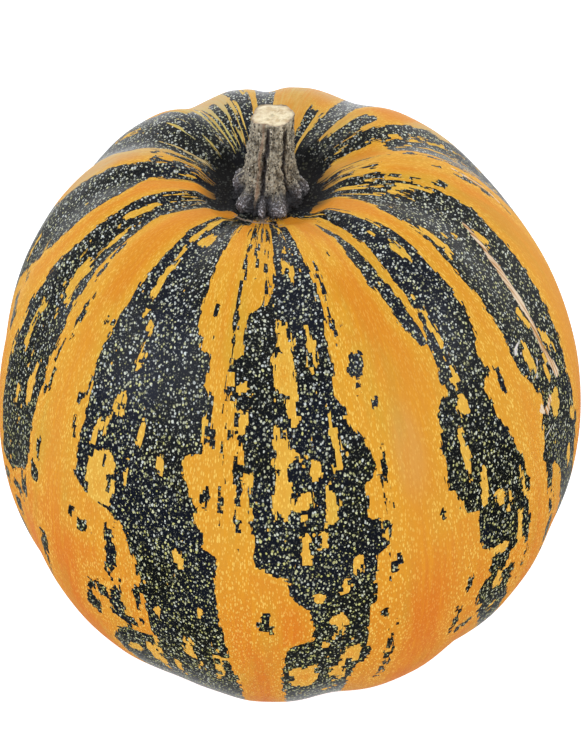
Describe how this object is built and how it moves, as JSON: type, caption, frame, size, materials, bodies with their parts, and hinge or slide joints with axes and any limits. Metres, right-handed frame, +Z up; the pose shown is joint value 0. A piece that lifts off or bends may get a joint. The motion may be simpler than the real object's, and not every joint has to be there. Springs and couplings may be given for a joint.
{
  "type": "pumpkin",
  "caption": "Ribbed round pumpkin with dark green and orange stripes and a short cut stem, standing on its blossom end.",
  "frame": {"origin": "middle of the flat spot that the pumpkin rests on", "axes": "+Z up from the rest spot through the stem; -Y towards the side that the picture shows; +X to that side's right"},
  "size_m": [0.2326, 0.2265, 0.2656],
  "materials": {
    "rind": "natural waxy pumpkin rind, orange with near-black green stripes and pale speckles, satin",
    "stem": "dry corky grey-brown stem bark, with a pale cream cut face on top"
  },
  "bodies": {
    "root": {"fruit": "rind", "stem": "stem"}
  },
  "joints": []
}
